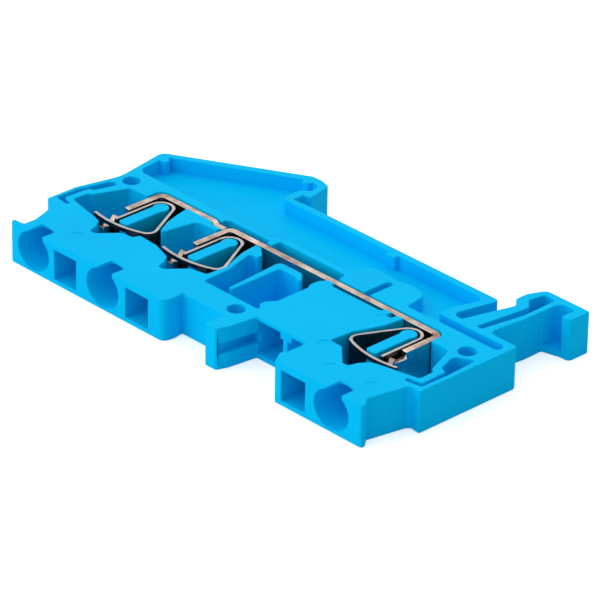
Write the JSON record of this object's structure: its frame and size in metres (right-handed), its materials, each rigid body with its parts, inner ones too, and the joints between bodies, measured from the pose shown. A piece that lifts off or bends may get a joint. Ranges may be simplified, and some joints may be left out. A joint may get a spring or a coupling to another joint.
{
  "type": "rail-mount spring-clamp terminal block",
  "caption": "Slim rail-mount terminal block, open on one side: moulded housing with hook and sprung foot, bent current bars, cage-clamp springs, wire entries and tool holes along its front.",
  "frame": {"origin": "centre of the bounding box on the closed side, which lies on the surface", "axes": "+X along the row of wire entries, +Y from the entries to the rail seat, +Z through the thickness toward the open side"},
  "size_m": [0.0612, 0.0338, 0.0052],
  "materials": {
    "blue_plastic": "satin moulded insulating plastic",
    "copper": "bright copper alloy strip",
    "spring_steel": "bright spring steel strip"
  },
  "bodies": {
    "housing": {"housing": "blue_plastic", "short_current_bar": "copper", "long_current_bar": "copper", "spring_limb_1": "spring_steel", "spring_limb_2": "spring_steel", "spring_limb_3": "spring_steel"},
    "rail_foot": {"rail_foot": "blue_plastic"},
    "clamp_1": {"spring_clamp_1": "spring_steel"},
    "clamp_2": {"spring_clamp_2": "spring_steel"},
    "clamp_3": {"spring_clamp_3": "spring_steel"}
  },
  "joints": [
    {"name": "foot_release", "type": "hinge", "parent": "housing", "child": "rail_foot", "pos_m": [0.026, 0.0051, 0.0026], "axis": [0, 0, 1], "range_deg": [-8, 0], "stiffness_Nm_per_rad": 0.3},
    {"name": "clamp_1_open", "type": "hinge", "parent": "housing", "child": "clamp_1", "pos_m": [-0.02037, -0.00161, 0.00285], "axis": [0, 0, 1], "range_deg": [-15, 0], "stiffness_Nm_per_rad": 0.1},
    {"name": "clamp_2_open", "type": "hinge", "parent": "housing", "child": "clamp_2", "pos_m": [-0.00871, -0.00161, 0.00285], "axis": [0, 0, 1], "range_deg": [-15, 0], "stiffness_Nm_per_rad": 0.1},
    {"name": "clamp_3_open", "type": "hinge", "parent": "housing", "child": "clamp_3", "pos_m": [0.02037, -0.00161, 0.00285], "axis": [0, 0, 1], "range_deg": [0, 15], "stiffness_Nm_per_rad": 0.1}
  ]
}
